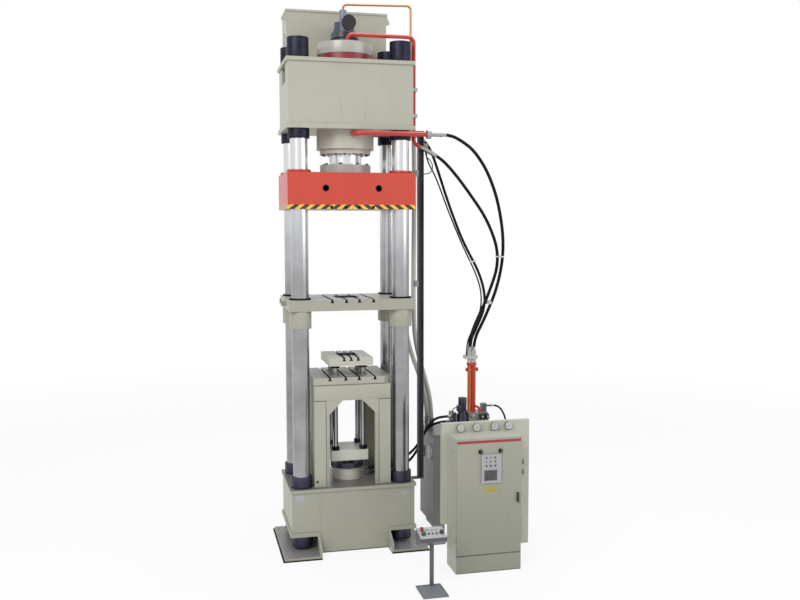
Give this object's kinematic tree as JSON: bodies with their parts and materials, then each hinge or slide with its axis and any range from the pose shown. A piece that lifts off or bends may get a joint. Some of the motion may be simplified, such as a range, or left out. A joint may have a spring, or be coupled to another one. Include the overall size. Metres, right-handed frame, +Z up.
{
  "type": "four-column hydraulic press",
  "caption": "Upright four-column hydraulic press with moving slide and platen, lift-out ejector, overhead tank, power unit, cabinets and two-hand control.",
  "frame": {"origin": "on the floor, on the axis of the main ram, midway between the four tie columns", "axes": "+X to the right of someone who stands in front of the press, +Y away from them, +Z up"},
  "size_m": [3.46, 3.635, 7.706],
  "materials": {
    "greige_paint": "semi-gloss",
    "dark_grey_paint": "semi-gloss",
    "black_steel": "satin",
    "red_paint": "semi-gloss",
    "chromed_steel": "polished",
    "bronze": "machined",
    "copper": "drawn tube",
    "bright_steel": "machined",
    "valve_blue": "satin",
    "hose_rubber": "matt",
    "pale_hose": "satin",
    "switch_grey": "matt",
    "lamp_amber": "gloss",
    "button_red": "gloss",
    "button_green": "gloss",
    "button_white": "gloss"
  },
  "bodies": {
    "press": {"base_frame": "greige_paint", "tie_columns": "chromed_steel", "column_nuts": "black_steel", "crown_frame": "greige_paint", "main_cylinder": "greige_paint", "cylinder_lock_nut": "red_paint", "cylinder_cap": "greige_paint", "cylinder_glands": "black_steel", "prefill_valve": "valve_blue", "overhead_tank": "greige_paint", "top_pressure_pipe": "red_paint", "pilot_pipe": "copper", "lower_pressure_pipe": "red_paint", "hose_fittings": "bright_steel", "switch_rail": "dark_grey_paint", "limit_switches": "switch_grey", "work_table": "greige_paint", "rod_bushes": "bronze", "ejector_cylinder": "greige_paint", "oil_tank": "dark_grey_paint", "pump_motor": "dark_grey_paint", "valve_manifold": "valve_blue", "riser_pipes": "red_paint", "gauge_cabinet": "greige_paint", "pressure_gauges": "switch_grey", "cabinet_shell": "greige_paint", "control_gear": "switch_grey", "pedestal_stand": "dark_grey_paint", "pedestal_box": "greige_paint", "pedestal_lamps": "lamp_amber", "pressure_hoses": "hose_rubber", "return_hoses": "pale_hose", "signal_cables": "hose_rubber"},
    "slide": {"slide_frame": "red_paint", "slide_bushes": "red_paint", "main_ram": "chromed_steel", "ram_flange": "black_steel"},
    "platen": {"middle_platen": "greige_paint", "platen_guides": "black_steel", "platen_wipers": "hose_rubber"},
    "ejector": {"ejector_ram": "chromed_steel", "ejector_lower_plate": "greige_paint", "lift_rods": "chromed_steel", "rod_collars": "black_steel", "ejector_table": "greige_paint"},
    "door": {"cabinet_door": "greige_paint", "operator_panel": "switch_grey", "panel_lamps": "lamp_amber"},
    "handle": {"door_handle": "black_steel"},
    "knob_left": {"rotary_knob_1": "bright_steel"},
    "knob_right": {"rotary_knob_2": "bright_steel"},
    "panel_push_1": {"panel_button_1": "button_red"},
    "panel_push_2": {"panel_button_2": "button_white"},
    "panel_push_3": {"panel_button_3": "button_white"},
    "stop_button": {"emergency_stop": "button_red"},
    "palm_left": {"palm_button_1": "button_green"},
    "palm_right": {"palm_button_2": "button_green"},
    "push_left": {"push_button_1": "button_green"},
    "push_middle": {"push_button_2": "button_white"},
    "push_right": {"push_button_3": "button_white"}
  },
  "joints": [
    {"name": "slide_travel", "type": "slide", "parent": "press", "child": "slide", "axis": [0, 0, -1], "range_m": [-0.12, 1]},
    {"name": "platen_travel", "type": "slide", "parent": "press", "child": "platen", "axis": [0, 0, -1], "range_m": [-0.15, 0.25]},
    {"name": "ejector_lift", "type": "slide", "parent": "press", "child": "ejector", "axis": [0, 0, 1], "range_m": [0, 0.35]},
    {"name": "door_hinge", "type": "hinge", "parent": "press", "child": "door", "pos_m": [1.1237, -1.765, 1], "axis": [0, 0, -1], "range_deg": [0, 95]},
    {"name": "handle_turn", "type": "hinge", "parent": "door", "child": "handle", "pos_m": [1.97, -1.774, 0.983], "axis": [0, 1, 0], "range_deg": [0, 90]},
    {"name": "knob_left_turn", "type": "hinge", "parent": "door", "child": "knob_left", "pos_m": [1.451, -1.774, 1.62], "axis": [0, 1, 0], "range_deg": [-45, 45]},
    {"name": "knob_right_turn", "type": "hinge", "parent": "door", "child": "knob_right", "pos_m": [1.726, -1.774, 1.62], "axis": [0, 1, 0], "range_deg": [-45, 45]},
    {"name": "panel_push_1_travel", "type": "slide", "parent": "door", "child": "panel_push_1", "axis": [0, 1, 0], "range_m": [0, 0.004], "stiffness_N_per_m": 800, "springref_m": -0.002},
    {"name": "panel_push_2_travel", "type": "slide", "parent": "door", "child": "panel_push_2", "axis": [0, 1, 0], "range_m": [0, 0.004], "stiffness_N_per_m": 800, "springref_m": -0.002},
    {"name": "panel_push_3_travel", "type": "slide", "parent": "door", "child": "panel_push_3", "axis": [0, 1, 0], "range_m": [0, 0.004], "stiffness_N_per_m": 800, "springref_m": -0.002},
    {"name": "stop_button_travel", "type": "slide", "parent": "press", "child": "stop_button", "axis": [0, 0.2334, -0.9724], "range_m": [0, 0.008], "stiffness_N_per_m": 1500, "springref_m": -0.002},
    {"name": "palm_left_travel", "type": "slide", "parent": "press", "child": "palm_left", "axis": [0, 0.2334, -0.9724], "range_m": [0, 0.008], "stiffness_N_per_m": 1500, "springref_m": -0.002},
    {"name": "palm_right_travel", "type": "slide", "parent": "press", "child": "palm_right", "axis": [0, 0.2334, -0.9724], "range_m": [0, 0.008], "stiffness_N_per_m": 1500, "springref_m": -0.002},
    {"name": "push_left_travel", "type": "slide", "parent": "press", "child": "push_left", "axis": [0, 0.2334, -0.9724], "range_m": [0, 0.004], "stiffness_N_per_m": 1500, "springref_m": -0.002},
    {"name": "push_middle_travel", "type": "slide", "parent": "press", "child": "push_middle", "axis": [0, 0.2334, -0.9724], "range_m": [0, 0.004], "stiffness_N_per_m": 1500, "springref_m": -0.002},
    {"name": "push_right_travel", "type": "slide", "parent": "press", "child": "push_right", "axis": [0, 0.2334, -0.9724], "range_m": [0, 0.004], "stiffness_N_per_m": 1500, "springref_m": -0.002}
  ]
}
